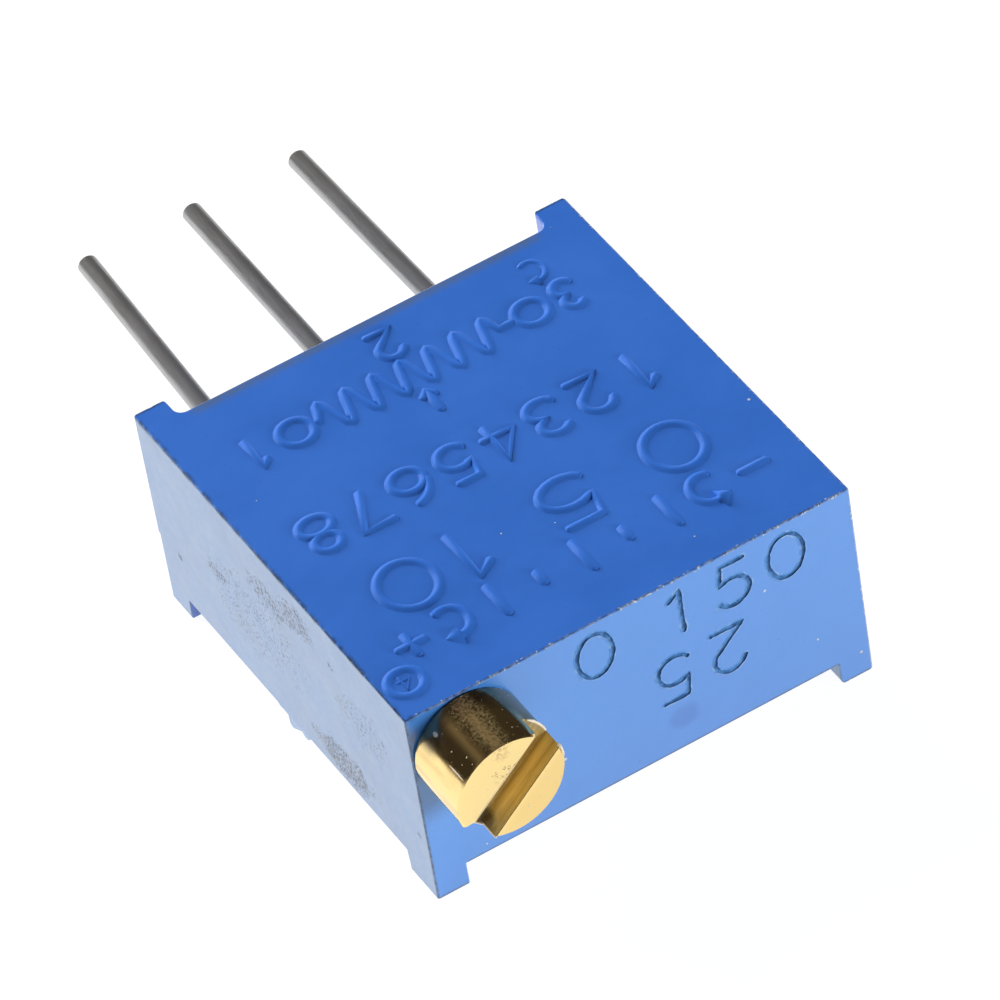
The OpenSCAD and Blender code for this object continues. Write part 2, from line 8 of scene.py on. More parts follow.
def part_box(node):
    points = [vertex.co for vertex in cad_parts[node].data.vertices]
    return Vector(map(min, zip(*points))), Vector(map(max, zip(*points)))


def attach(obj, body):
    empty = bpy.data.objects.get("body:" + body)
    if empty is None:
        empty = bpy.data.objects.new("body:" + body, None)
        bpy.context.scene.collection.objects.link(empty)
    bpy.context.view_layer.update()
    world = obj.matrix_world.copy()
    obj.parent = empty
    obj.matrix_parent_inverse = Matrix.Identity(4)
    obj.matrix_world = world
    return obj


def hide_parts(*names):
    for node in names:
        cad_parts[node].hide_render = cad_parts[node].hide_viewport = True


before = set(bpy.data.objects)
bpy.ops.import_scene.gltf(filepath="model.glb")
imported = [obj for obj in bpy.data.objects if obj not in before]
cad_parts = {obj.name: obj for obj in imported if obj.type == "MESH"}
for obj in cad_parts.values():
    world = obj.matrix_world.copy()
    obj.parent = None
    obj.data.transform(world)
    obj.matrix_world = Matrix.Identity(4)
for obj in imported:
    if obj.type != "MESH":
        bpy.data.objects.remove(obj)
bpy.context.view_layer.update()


# ------------------------------------------------------------------ moulded housing
# The box is one thermoplastic moulding, open below, with four feet and two board ribs.
# It is shot in two mould halves, so its corners are crisp, its label face is glossy and the
# flank beside the screw is scuffed and dusty from the parts feeder, and painted with a pale sheen.

def node(tree, kind, values=None, **settings):
    """Adds a node; values holds its sockets by name or number, each a link or a constant."""
    made = tree.nodes.new(kind)
    for key, value in settings.items():
        setattr(made, key, value)
    for key, value in (values or {}).items():
        if isinstance(value, bpy.types.NodeSocket):
            tree.links.new(value, made.inputs[key])
        else:
            made.inputs[key].default_value = value
    return made


def calc(tree, operation, *values):
    """A Math node's result."""
    return node(tree, "ShaderNodeMath", dict(enumerate(values)), operation=operation).outputs[0]


def times(tree, first, *others):
    """The product of some values."""
    for other in others:
        first = calc(tree, "MULTIPLY", first, other)
    return first


def plus(tree, first, *others):
    """The sum of some values."""
    for other in others:
        first = calc(tree, "ADD", first, other)
    return first


def inverse(tree, value):
    """What is left of one."""
    return calc(tree, "SUBTRACT", 1.0, value)


def vector_calc(tree, operation, *values):
    """A Vector Math node's result."""
    made = node(tree, "ShaderNodeVectorMath", dict(enumerate(values)), operation=operation)
    return made.outputs["Value" if operation in ("LENGTH", "DOT_PRODUCT") else "Vector"]


def noise(tree, where, scale, detail, roughness=0.5):
    """Noise from 0 to 1."""
    return node(tree, "ShaderNodeTexNoise", {"Vector": where, "Scale": scale, "Detail": detail,
        "Roughness": roughness}).outputs["Fac"]


def ramp(tree, value, start, end, low=0.0, high=1.0):
    """Goes smoothly from low at start to high at end."""
    made = node(tree, "ShaderNodeMapRange", {"Value": value}, interpolation_type="SMOOTHSTEP")
    if start > end:
        start, end, low, high = end, start, high, low
    for key, amount in (("From Min", start), ("From Max", end), ("To Min", low), ("To Max", high)):
        made.inputs[key].default_value = amount
    return made.outputs["Result"]


def blend(tree, factor, a, b):
    """Mixes two colours."""
    made = tree.nodes.new("ShaderNodeMix")
    made.data_type = "RGBA"
    for index, value in ((0, factor), (6, a), (7, b)):
        if isinstance(value, bpy.types.NodeSocket):
            tree.links.new(value, made.inputs[index])
        else:
            made.inputs[index].default_value = (*value, 1.0) if index else value
    return made.outputs[2]


def shader_group(name, inputs, outputs):
    """An empty node group with its sockets, and its two end nodes."""
    tree = bpy.data.node_groups.new(name, "ShaderNodeTree")
    for label, kind, value in inputs:
        socket = tree.interface.new_socket(label, in_out="INPUT", socket_type="NodeSocket" + kind)
        socket.default_value = value
    for label, kind in outputs:
        tree.interface.new_socket(label, in_out="OUTPUT", socket_type="NodeSocket" + kind)
    return tree, tree.nodes.new("NodeGroupInput").outputs, tree.nodes.new("NodeGroupOutput").inputs


def millimetres(tree):
    """Object coordinates in millimetres."""
    where = node(tree, "ShaderNodeTexCoord").outputs["Object"]
    return node(tree, "ShaderNodeVectorMath", {0: where, "Scale": 1000.0}, operation="SCALE").outputs[0]


def use(tree, group, where, **values):
    """The result of a shared group; underscores in a name stand for spaces."""
    values = {key.replace("_", " "): value for key, value in values.items()}
    return node(tree, "ShaderNodeGroup", {"Vector": where, **values}, node_tree=group).outputs[0]


# Grain: plain noise from 0 to 1
grain, given, out = shader_group("Grain", [("Vector", "Vector", (0, 0, 0)), ("Per mm", "Float", 14.0),
    ("Detail", "Float", 4.0), ("Roughness", "Float", 0.5)], [("Height", "Float")])
grain.links.new(noise(grain, given["Vector"], given["Per mm"], given["Detail"], given["Roughness"]),
    out["Height"])

# Specks: sparse round spots of uneven size, for dust, pits and glints
specks, given, out = shader_group("Specks", [("Vector", "Vector", (0, 0, 0)), ("Per mm", "Float", 3.0),
    ("Share", "Float", 0.1), ("Size", "Float", 0.1)], [("Mask", "Float")])
cells = node(specks, "ShaderNodeTexVoronoi", {"Vector": given["Vector"], "Scale": given["Per mm"]})
lot = node(specks, "ShaderNodeSeparateColor", {0: cells.outputs["Color"]}).outputs
chosen = calc(specks, "LESS_THAN", lot[0], given["Share"])
spread = times(specks, lot[1], given["Size"], given["Per mm"])
core = inverse(specks, calc(specks, "DIVIDE", cells.outputs["Distance"], spread))
specks.links.new(times(specks, chosen, core, 2.5), out["Mask"])

# Cloud: soft uneven variation from 0 to 1
cloud, given, out = shader_group("Cloud", [("Vector", "Vector", (0, 0, 0)), ("Per mm", "Float", 1.0),
    ("Low", "Float", 0.35), ("High", "Float", 0.65), ("Detail", "Float", 4.0)], [("Mask", "Float")])
step = node(cloud, "ShaderNodeMapRange", {"Value": noise(cloud, given["Vector"], given["Per mm"],
    given["Detail"]), "From Min": given["Low"], "From Max": given["High"]}, interpolation_type="SMOOTHSTEP")
cloud.links.new(step.outputs["Result"], out["Mask"])

# Patch: one soft oval area round a point
patch, given, out = shader_group("Patch", [("Vector", "Vector", (0, 0, 0)), ("Centre", "Vector", (0, 0, 0)),
    ("Reach", "Vector", (1, 1, 1)), ("Ragged", "Float", 0.0)], [("Mask", "Float")])
offset = vector_calc(patch, "SUBTRACT", given["Vector"], given["Centre"])
length = vector_calc(patch, "LENGTH", vector_calc(patch, "DIVIDE", offset, given["Reach"]))
torn = calc(patch, "SUBTRACT", noise(patch, given["Vector"], 3.0, 5.0), 0.5)
torn = plus(patch, length, times(patch, torn, given["Ragged"]))
patch.links.new(ramp(patch, torn, 1.0, 0.45), out["Mask"])

# Box edge: how far a point of a box's surface lies from the nearest edge, in millimetres
box_edge, given, out = shader_group("Box edge", [("Vector", "Vector", (0, 0, 0)),
    ("Centre", "Vector", (0, 0, 0)), ("Half", "Vector", (1, 1, 1))], [("Distance", "Float")])
offset = vector_calc(box_edge, "SUBTRACT", given["Vector"], given["Centre"])
inward = vector_calc(box_edge, "SUBTRACT", given["Half"], vector_calc(box_edge, "ABSOLUTE", offset))
deep = node(box_edge, "ShaderNodeSeparateXYZ", {0: inward}).outputs
least = calc(box_edge, "MINIMUM", deep[0], deep[1])
most = calc(box_edge, "MAXIMUM", deep[0], deep[1])
box_edge.links.new(calc(box_edge, "MAXIMUM", least, calc(box_edge, "MINIMUM", most, deep[2])), out["Distance"])


def plain_material(name, colour, roughness, metallic=0.0):
    """A material with its tree and shader, to be given its detail."""
    made = bpy.data.materials.new(name)
    made.use_nodes = True
    shader = made.node_tree.nodes["Principled BSDF"]
    shader.inputs["Base Color"].default_value = (*colour, 1.0)
    shader.inputs["Roughness"].default_value = roughness
    shader.inputs["Metallic"].default_value = metallic
    return made, made.node_tree, shader


def glaze(shader):
    """Gives a material the smooth clear skin of moulded and poured plastic."""
    for key, value in (("Coat Weight", 1.0), ("Coat Roughness", 0.22), ("Coat IOR", 1.6)):
        shader.inputs[key].default_value = value


def relief(tree, shader, height, depth):
    """Gives a material fine relief; depth is in metres."""
    bump = node(tree, "ShaderNodeBump", {"Height": height, "Distance": depth})
    tree.links.new(bump.outputs["Normal"], shader.inputs["Normal"])


def placed(name, data):
    """A new object in the scene made of this mesh, lamp or camera."""
    made = bpy.data.objects.new(name, data)
    bpy.context.scene.collection.objects.link(made)
    return made


def merged_copy(name, source, material):
    """A copy of a CAD node with its seams closed, its flat faces whole and its own material."""
    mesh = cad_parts[source].data.copy()
    mesh.name = name
    mesh.materials.clear()
    mesh.materials.append(material)
    shape = bmesh.new()
    shape.from_mesh(mesh)
    bmesh.ops.remove_doubles(shape, verts=shape.verts, dist=1e-7)
    bmesh.ops.dissolve_limit(shape, angle_limit=radians(0.3), verts=shape.verts, edges=shape.edges)
    shape.to_mesh(mesh)
    shape.free()
    return placed(name, mesh)


box_low, box_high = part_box("housing")
side_x, front_y, label_z, feet_z = box_high.x, box_low.y, box_high.z, box_low.z
foot_width, foot_height = 0.0007, 0.00053
inner_x, skirt_z = side_x - foot_width, feet_z + foot_height
side_mm, inner_mm, front_mm, label_mm, skirt_mm, feet_mm = (
    1000 * size for size in (side_x, inner_x, front_y, label_z, skirt_z, feet_z))

blue, tree, shader = plain_material("moulded_blue", (0.036, 0.200, 0.78), 0.34)
glaze(shader)
at = millimetres(tree)
xyz = node(tree, "ShaderNodeSeparateXYZ", {0: at}).outputs
tint = blend(tree, use(tree, cloud, at, Per_mm=0.45), (0.042, 0.190, 0.735), (0.050, 0.208, 0.785))
flank = ramp(tree, xyz["X"], 0.03 - side_mm, 0.0 - side_mm)
front = ramp(tree, xyz["Y"], front_mm + 0.03, front_mm)
# the front face is painted lighter and greener than the label face: painted light on it
tint = blend(tree, front, tint, (0.075, 0.29, 0.80))
# the flank's greyer tint is part of a painted sheen
tint = blend(tree, flank, tint, (0.080, 0.26, 0.61))
# the flank is rubbed pale and grey, in soft streaks and clusters of fine pits; the paleness is partly dust and
# partly a painted sheen
dusty = use(tree, cloud, at, Per_mm=1.6, Low=0.25, High=0.75, Detail=6.0)
mottle = use(tree, cloud, at, Per_mm=7.0, Low=0.38, High=0.68, Detail=3.0)
dust_and_sheen = plus(tree, times(tree, dusty, 0.30), times(tree, mottle, 0.18))
pale = blend(tree, times(tree, flank, dust_and_sheen), tint, (0.26, 0.40, 0.60))
soiled = use(tree, cloud, at, Per_mm=0.7, Low=0.42, High=0.72, Detail=5.0)
pale = blend(tree, times(tree, flank, soiled, 0.3), pale, (0.12, 0.22, 0.42))
scuffs = 0.0
for centre, reach, strength in (
        ((-side_mm, -4.70, 1.60), (1, 1.0, 0.50), 0.8), ((-side_mm, -5.85, 1.95), (1, 0.9, 0.55), 0.9),
        ((-side_mm, -6.9, -0.95), (1, 1.5, 0.55), 1.0), ((-side_mm, -2.65, 0.60), (1, 0.55, 0.22), 0.9),
        ((-side_mm, -4.0, 0.4), (1, 2.6, 1.3), 0.4), ((-side_mm, -8.1, 0.9), (1, 1.3, 0.9), 0.4),
        ((-side_mm, -0.93, -0.32), (1, 0.13, 0.13), 1.0), ((-side_mm, -7.11, 1.72), (1, 0.15, 0.15), 1.0),
        ((-side_mm, -8.84, 1.14), (1, 0.13, 0.13), 1.0), ((-side_mm, -9.72, -0.55), (1, 0.11, 0.11), 1.0)):
    spot = use(tree, patch, at, Centre=centre, Reach=reach, Ragged=1.2)
    scuffs = calc(tree, "MAXIMUM", scuffs, times(tree, spot, strength))
fine = use(tree, grain, at, Per_mm=16.0, Roughness=0.72)
pits = ramp(tree, plus(tree, fine, times(tree, scuffs, 0.155)), 0.61, 0.74)
worn = times(tree, pits, flank, ramp(tree, scuffs, 0.0, 0.4))
below = ramp(tree, xyz["Z"], 0.3, -0.5)
pale = blend(tree, times(tree, worn, 0.85), pale, blend(tree, below, (0.010, 0.036, 0.10),
    (0.042, 0.052, 0.065)))
raised = ramp(tree, xyz["Z"], label_mm + 0.001, label_mm + 0.008)
tree.links.new(inverse(tree, plus(tree, times(tree, worn, 0.5), times(tree, raised, 0.5))),
    shader.inputs["Coat Weight"])
tree.links.new(calc(tree, "SUBTRACT", 0.5, plus(tree, times(tree, worn, 0.2), times(tree, raised, 0.3))),
    shader.inputs["Specular IOR Level"])
# the inner sides of the feet are painted light blue: painted light, bounced up from the table
feet = times(tree, ramp(tree, xyz["Z"], skirt_mm - 0.01, skirt_mm - 0.05),
    inverse(tree, calc(tree, "MAXIMUM", front, flank)))
feet = times(tree, feet, ramp(tree, calc(tree, "ABSOLUTE", xyz["X"]), inner_mm + 0.04, inner_mm + 0.01))
feet = times(tree, feet, ramp(tree, xyz["Y"], -0.08, -0.12))
pale = blend(tree, times(tree, feet, 0.9), pale, (0.45, 0.78, 1.0))
# along the corners the skin is broken: a thin grey line of wear, painted dark as shade beside the flank, with
# dark nicks there, and pale glints that are painted highlights
edge = use(tree, box_edge, at, Centre=(0, front_mm / 2, (label_mm + feet_mm) / 2),
    Half=(side_mm, -front_mm / 2, (label_mm - feet_mm) / 2))
broken = use(tree, cloud, at, Per_mm=5.5, Low=0.30, High=0.62, Detail=6.0)
edge_wear_and_shade = times(tree, ramp(tree, edge, 0.055, 0.015), broken)
beside = ramp(tree, xyz["X"], 0.30 - side_mm, 0.12 - side_mm)
mixed = use(tree, cloud, at, Per_mm=9.0, Low=0.40, High=0.60, Detail=2.0)
skin = blend(tree, times(tree, edge_wear_and_shade, 0.8), pale, blend(tree, beside,
    blend(tree, mixed, (0.09, 0.09, 0.11), (0.34, 0.42, 0.56)), (0.030, 0.045, 0.07)))
# the label face is greyed by flux towards its rear edge, and painted dark as shade along its rear edge, at the
# ends of the ribs
high = ramp(tree, xyz["Z"], label_mm - 0.10, label_mm - 0.03)
rim = times(tree, ramp(tree, calc(tree, "ABSOLUTE", xyz["X"]), 4.0, 3.6), ramp(tree, xyz["Y"], -0.86, -0.60))
rim = times(tree, rim, high)
rim = times(tree, rim, plus(tree, times(tree, broken, 0.25), 0.45))
skin = blend(tree, rim, skin, (0.13, 0.18, 0.25))
rim = times(tree, ramp(tree, xyz["Y"], -0.12, -0.04), plus(tree, times(tree, broken, 0.4), 0.4))
skin = blend(tree, times(tree, rim, high), skin, (0.020, 0.045, 0.06))
# and the front face is grimy along its lower edge, feet and all
inner = ramp(tree, calc(tree, "ABSOLUTE", xyz["X"]), inner_mm + 0.02, inner_mm - 0.02)
under = calc(tree, "MAXIMUM", ramp(tree, xyz["Z"], feet_mm + 0.10, feet_mm + 0.04),
    times(tree, inner, ramp(tree, xyz["Z"], skirt_mm + 0.10, skirt_mm + 0.04)))
under = times(tree, under, front, plus(tree, times(tree, broken, 0.3), 0.5))
skin = blend(tree, under, skin, (0.045, 0.075, 0.12))
bitten = use(tree, cloud, at, Per_mm=3.0, Low=0.42, High=0.66, Detail=6.0)
bitten = times(tree, bitten, beside, ramp(tree, edge, 0.12, 0.02))
bitten = times(tree, bitten, ramp(tree, xyz["Z"], label_mm - 0.35, label_mm - 0.15))
skin = blend(tree, times(tree, bitten, 0.75), skin, (0.016, 0.050, 0.12))
# pale glints along the edges are painted highlights; the specks mixed in with them are dust
glint = use(tree, cloud, at, Per_mm=13.0, Low=0.56, High=0.66)
burrs = times(tree, ramp(tree, edge, 0.075, 0.02), glint)
burrs = times(tree, burrs, inverse(tree, times(tree, beside, 0.75)))
dust = use(tree, specks, at, Per_mm=2.2, Share=0.14, Size=0.045)
bright = ramp(tree, plus(tree, burrs, dust), 0.1, 0.7)
skin = blend(tree, bright, skin, (0.62, 0.70, 0.80))
stain = use(tree, patch, at, Centre=(0.75, front_mm, -0.72), Reach=(0.42, 1, 0.36), Ragged=0.5)
skin = blend(tree, times(tree, stain, 0.4), skin, (0.02, 0.14, 0.52))
tree.links.new(skin, shader.inputs["Base Color"])
texture = use(tree, grain, at, Detail=5.0)
swell = use(tree, grain, at, Per_mm=0.9, Detail=2.0)
matte = plus(tree, times(tree, calc(tree, "MAXIMUM", flank, feet), 0.10), times(tree, texture, 0.12))
tree.links.new(plus(tree, matte, 0.24, times(tree, edge_wear_and_shade, 0.2)), shader.inputs["Roughness"])
height = plus(tree, times(tree, texture, 0.10), times(tree, swell, 1.6))
height = calc(tree, "SUBTRACT", height, times(tree, plus(tree, worn, bitten), 0.6))
height = plus(tree, height, times(tree, bright, 0.5))
relief(tree, shader, height, 0.00002)

shell = merged_copy("moulded_housing", "housing", blue)


# ------------------------------------------------------------------ etched marks
# A laser writes the plain scale numbers into the screw face. Each stroke is a shallow groove
# with a charred floor, cut straight into the moulding, and a pale swollen lip beside it.

def bow(cx, cy, rx, ry, start, end, count=14):
    """Points along an arc."""
    return [(cx + rx * cos(radians(start + (end - start) * i / count)),
        cy + ry * sin(radians(start + (end - start) * i / count))) for i in range(count + 1)]


# strokes of each sign in a box 1 high; a stroke that ends where it starts is a closed loop
GLYPHS = {
    "0": [bow(0.36, 0.5, 0.36, 0.5, 90, 450, 28)],
    "1": [[(0.10, 0.80), (0.34, 1.0), (0.34, 0.0)]],
    "2": [bow(0.33, 0.70, 0.31, 0.30, 165, -35) + [(0.02, 0.0), (0.66, 0.0)]],
    "3": [bow(0.32, 0.76, 0.29, 0.24, 150, -80, 12) + bow(0.32, 0.27, 0.34, 0.27, 75, -150, 14)],
    "4": [[(0.48, 0.0), (0.48, 1.0), (0.0, 0.30), (0.68, 0.30)]],
    "5": [[(0.60, 1.0), (0.12, 1.0), (0.06, 0.55)] + bow(0.31, 0.32, 0.34, 0.32, 125, -145)],
    "6": [bow(0.62, 0.40, 0.62, 0.60, 105, 175, 8), bow(0.34, 0.31, 0.34, 0.31, 90, 450, 24)],
    "7": [[(0.0, 1.0), (0.66, 1.0), (0.22, 0.0)]],
    "8": [bow(0.34, 0.76, 0.27, 0.24, -90, 270, 20), bow(0.34, 0.26, 0.34, 0.26, 90, 450, 24)],
    "+": [[(0.0, 0.5), (0.7, 0.5)], [(0.35, 0.15), (0.35, 0.85)]],
    "-": [[(0.0, 0.5), (0.7, 0.5)]],
    "|": [[(0.35, 0.0), (0.35, 1.0)]],
    ".": [[(0.35, 0.30), (0.35, 0.70)]],
    "o": [bow(0.4, 0.5, 0.4, 0.4, 90, 450, 24)],
    "(": [bow(0.40, 0.46, 0.40, 0.46, 300, 85, 18) + [(0.45, 0.92, 2.6), (0.78, 0.84, 0.05)]],
    ")": [bow(0.40, 0.46, 0.40, 0.46, 240, 455, 18) + [(0.35, 0.92, 2.6), (0.02, 0.84, 0.05)]],
}


def stroke_mesh(name, strokes, place, tip=0.06):
    """An edge mesh of strokes. A point may carry its own width; an open stroke thins out just past
    an end that has none. place turns a stroke's (u, v) in millimetres into metres."""
    points, edges, scale = [], [], []
    part_way, part_width, tip_width = 0.6, 0.72, 0.05
    for stroke in strokes:
        line = [Vector(p[:2]) for p in stroke]
        size = [p[2] if len(p) > 2 else 1.0 for p in stroke]
        closed = (line[0] - line[-1]).length < 1e-4
        if closed:
            line, size = line[:-1], size[:-1]
        else:
            out = (line[0] - line[1]).normalized()
            line = [line[0] + out * tip, line[0] + out * tip * part_way] + line
            size = [tip_width, part_width] + size
            if len(stroke[-1]) < 3:
                out = (line[-1] - line[-2]).normalized()
                line += [line[-1] + out * tip * part_way, line[-1] + out * tip]
                size += [part_width, tip_width]
        start = len(points)
        points += [place(*p) for p in line]
        scale += size
        edges += [(start + i, start + i + 1) for i in range(len(line) - 1)]
        if closed:
            edges.append((len(points) - 1, start))
    mesh = bpy.data.meshes.new(name)
    mesh.from_pydata(points, edges, [])
    mesh.attributes.new("swell", "FLOAT", "POINT").data.foreach_set("value", scale)
    return placed(name, mesh)


def finer(stroke, step):
    """The same stroke with points about a step apart."""
    made = [stroke[0]]
    for a, b in zip(stroke, stroke[1:]):
        count = max(1, round((Vector(b[:2]) - Vector(a[:2])).length / step))
        made += [tuple(p + (q - p) * i / count for p, q in zip(a, b)) for i in range(1, count + 1)]
    return made


def line_of(text, height, spacing, width=1.0):
    """Strokes of a line of signs, in millimetres, from its left end on the baseline."""
    strokes, u = [], 0.0
    for sign in text:
        for stroke in GLYPHS.get(sign, []):
            strokes.append([(u + p[0] * height * width, p[1] * height, *p[2:]) for p in stroke])
        u += spacing
    return strokes


# Stroke tree: sweeps a section with a soft crown and a round keel along the strokes, the widest
# part of it sunk just below the surface
tree = stroke_tree = bpy.data.node_groups.new("Swept strokes", "GeometryNodeTree")
for label, kind, value in (("Geometry", "Geometry", None), ("Half width", "Float", 0.0001),
        ("Rise", "Float", 0.00004), ("Depth", "Float", 0.00003), ("Sink", "Float", 0.000005),
        ("Tremble", "Float", 0.0), ("Facets", "Int", 24), ("Facing", "Vector", (0, 0, 1)),
        ("Material", "Material", None)):
    socket = tree.interface.new_socket(label, in_out="INPUT", socket_type="NodeSocket" + kind)
    if value is not None:
        socket.default_value = value
tree.interface.new_socket("Geometry", in_out="OUTPUT", socket_type="NodeSocketGeometry")
given = tree.nodes.new("NodeGroupInput").outputs
curve = node(tree, "GeometryNodeMeshToCurve", {"Mesh": given["Geometry"]}).outputs[0]
along = node(tree, "GeometryNodeInputTangent").outputs[0]
across = vector_calc(tree, "CROSS_PRODUCT", given["Facing"], along)
curve = node(tree, "GeometryNodeSetCurveNormal", {"Curve": curve, "Normal": across}, mode="FREE").outputs[0]
spot = node(tree, "GeometryNodeInputPosition").outputs[0]
waver = node(tree, "ShaderNodeTexNoise", {"Vector": spot, "Scale": 9000.0, "Detail": 2.0})
shake = vector_calc(tree, "SUBTRACT", waver.outputs["Color"], (0.5, 0.5, 0.5))
shake = node(tree, "ShaderNodeVectorMath", {0: shake, "Scale": given["Tremble"]}, operation="SCALE").outputs[0]
level = vector_calc(tree, "SUBTRACT", (1, 1, 1), vector_calc(tree, "ABSOLUTE", given["Facing"]))
shake = vector_calc(tree, "MULTIPLY", shake, level)
curve = node(tree, "GeometryNodeSetPosition", {"Geometry": curve, "Offset": shake}).outputs[0]
ring = node(tree, "GeometryNodeCurvePrimitiveCircle",
    {"Resolution": given["Facets"], "Radius": 1.0}).outputs["Curve"]
spot = node(tree, "ShaderNodeSeparateXYZ", {0: node(tree, "GeometryNodeInputPosition").outputs[0]}).outputs
swing = calc(tree, "COSINE", times(tree, spot["X"], pi))
crown = times(tree, plus(tree, swing, 1.0), given["Rise"], 0.5)
keel = times(tree, spot["Y"], given["Depth"])
upper = calc(tree, "GREATER_THAN", spot["Y"], 0.0)
level = plus(tree, times(tree, upper, crown), times(tree, inverse(tree, upper), keel))
place = node(tree, "ShaderNodeCombineXYZ", {0: times(tree, spot["X"], given["Half width"]),
    1: calc(tree, "SUBTRACT", level, given["Sink"])}).outputs[0]
section = node(tree, "GeometryNodeSetPosition", {"Geometry": ring, "Position": place}).outputs[0]
swell = node(tree, "GeometryNodeInputNamedAttribute", {"Name": "swell"}, data_type="FLOAT").outputs[0]
uneven = times(tree, calc(tree, "SUBTRACT", waver.outputs["Fac"], 0.5), given["Tremble"], 90000.0)
swell = times(tree, swell, plus(tree, uneven, 1.0))
swept = node(tree, "GeometryNodeCurveToMesh", {"Curve": curve, "Profile Curve": section, "Scale": swell,
    "Fill Caps": True}).outputs[0]
real = node(tree, "GeometryNodeRealizeInstances", {"Geometry": swept}).outputs[0]
done = node(tree, "GeometryNodeSetMaterial", {"Geometry": real, "Material": given["Material"]}).outputs[0]
tree.links.new(done, tree.nodes.new("NodeGroupOutput").inputs[0])


def settled(piece):
    """Turns the piece's modifiers into plain mesh."""
    graph = bpy.context.evaluated_depsgraph_get()
    mesh = bpy.data.meshes.new_from_object(piece.evaluated_get(graph))
    piece.modifiers.clear()
    old = piece.data
    piece.data = mesh
    bpy.data.meshes.remove(old)
    mesh.name = piece.name


def sweep(piece, **inputs):
    """Runs the stroke tree on the piece with the inputs given, and keeps the result as plain mesh."""
    modifier = piece.modifiers.new("shape", "NODES")
    modifier.node_group = stroke_tree
    for item in stroke_tree.interface.items_tree:
        key = item.name.replace(" ", "_")
        if item.in_out == "INPUT" and key in inputs:
            modifier[item.identifier] = inputs[key]
    settled(piece)


def mottled(name, colour, roughness, metallic, first, second, **spread):
    """A material that varies softly between two colours, with its tree, shader, place and mask."""
    made, tree, shader = plain_material(name, colour, roughness, metallic)
    at = millimetres(tree)
    mask = use(tree, cloud, at, **spread)
    tree.links.new(blend(tree, mask, first, second), shader.inputs["Base Color"])
    return made, tree, shader, at, mask


char, tree, shader, at, _ = mottled("charred_groove", (0.03, 0.06, 0.12), 0.6, 0.0,
    (0.034, 0.125, 0.33), (0.10, 0.30, 0.64), Per_mm=7.0, Low=0.35, High=0.7)
relief(tree, shader, use(tree, grain, at, Per_mm=16.0), 0.00003)


def carve(piece, tool, operation="DIFFERENCE", **settings):
    """Takes the tool out of the piece, or adds it, and removes the tool."""
    cut = piece.modifiers.new("cut", "BOOLEAN")
    cut.operation = operation
    cut.solver = "EXACT"
    cut.object = tool
    for key, value in settings.items():
        setattr(cut, key, value)
    settled(piece)
    bpy.data.objects.remove(tool)


def on_front(u0, v0, turned=False):
    """Places strokes on the screw face with their left end at u0 and baseline at v0."""
    flip = -1 if turned else 1
    return lambda u, v: ((u0 + flip * u) * 0.001, front_y, (v0 + flip * v) * 0.001)


front_lines = [
    ("0", -1.22, 1.36, 1.06, 1.1, False), ("1 5 0", 0.66, 1.36, 1.06, 0.56, False),
    ("25", 2.22, 0.87, 1.08, 1.18, True)]
lip, tree, shader, at, _ = mottled("swollen_lip", (0.13, 0.30, 0.72), 0.4, 0.0,
    (0.045, 0.26, 0.74), (0.22, 0.44, 0.80), Per_mm=6.0, Low=0.45, High=0.75)
glaze(shader)
relief(tree, shader, use(tree, grain, at), 0.000025)
# the grooves are shifted by a hair, so that none of their faces coincides with one of the lips'
for label, operation, material, half_width, rise, depth, sink, tip, shift, tremble in (
        ("lip", "UNION", lip, 0.000105, 0.000022, 0.000020, 0.000003, 0.07, 0.0, 0.000010),
        ("groove", "DIFFERENCE", char, 0.000056, 0.000050, 0.000030, -0.000002, 0.03, 0.0023, 0.000014)):
    for index, (text, u0, v0, height, spacing, turned) in enumerate(front_lines):
        strokes = [finer(stroke, 0.07 + shift) for stroke in line_of(text, height, spacing)]
        tool = stroke_mesh("%s_%d" % (label, index), strokes, on_front(u0 + shift, v0 + shift * 1.7, turned), tip)
        sweep(tool, Half_width=half_width, Rise=rise, Depth=depth, Sink=sink, Tremble=tremble,
            Facets=12, Facing=(0, -1, 0), Material=material)
        carve(shell, tool, operation, use_self=True, material_mode="TRANSFER")


def round_edges(piece, width, segments, clamped, share):
    """Rounds each edge between two faces by its share of the width."""
    piece.data.attributes.new("bevel_weight_edge", "FLOAT", "EDGE")
    shape = bmesh.new()
    shape.from_mesh(piece.data)
    weight = shape.edges.layers.float["bevel_weight_edge"]
    for edge in shape.edges:
        if len(edge.link_faces) == 2:
            edge[weight] = share(edge)
    shape.to_mesh(piece.data)
    shape.free()
    bevel = piece.modifiers.new("round", "BEVEL")
    bevel.limit_method = "WEIGHT"
    bevel.width = width
    bevel.segments = segments
    bevel.use_clamp_overlap = clamped
    settled(piece)


def smooth_by_angle(piece, angle):
    """Shades round faces smooth and keeps edges sharper than the angle."""
    piece.data.shade_smooth()
    shape = bmesh.new()
    shape.from_mesh(piece.data)
    for edge in shape.edges:
        edge.smooth = (len(edge.link_faces) == 2 and edge.calc_face_angle(pi) < angle
            and edge.link_faces[0].material_index == edge.link_faces[1].material_index)
    shape.to_mesh(piece.data)
    shape.free()


# the ribs stand behind the first plane, and only their rear corners behind the second
ribs_y, rear_y = -0.00054, -0.0002
near = 5e-6


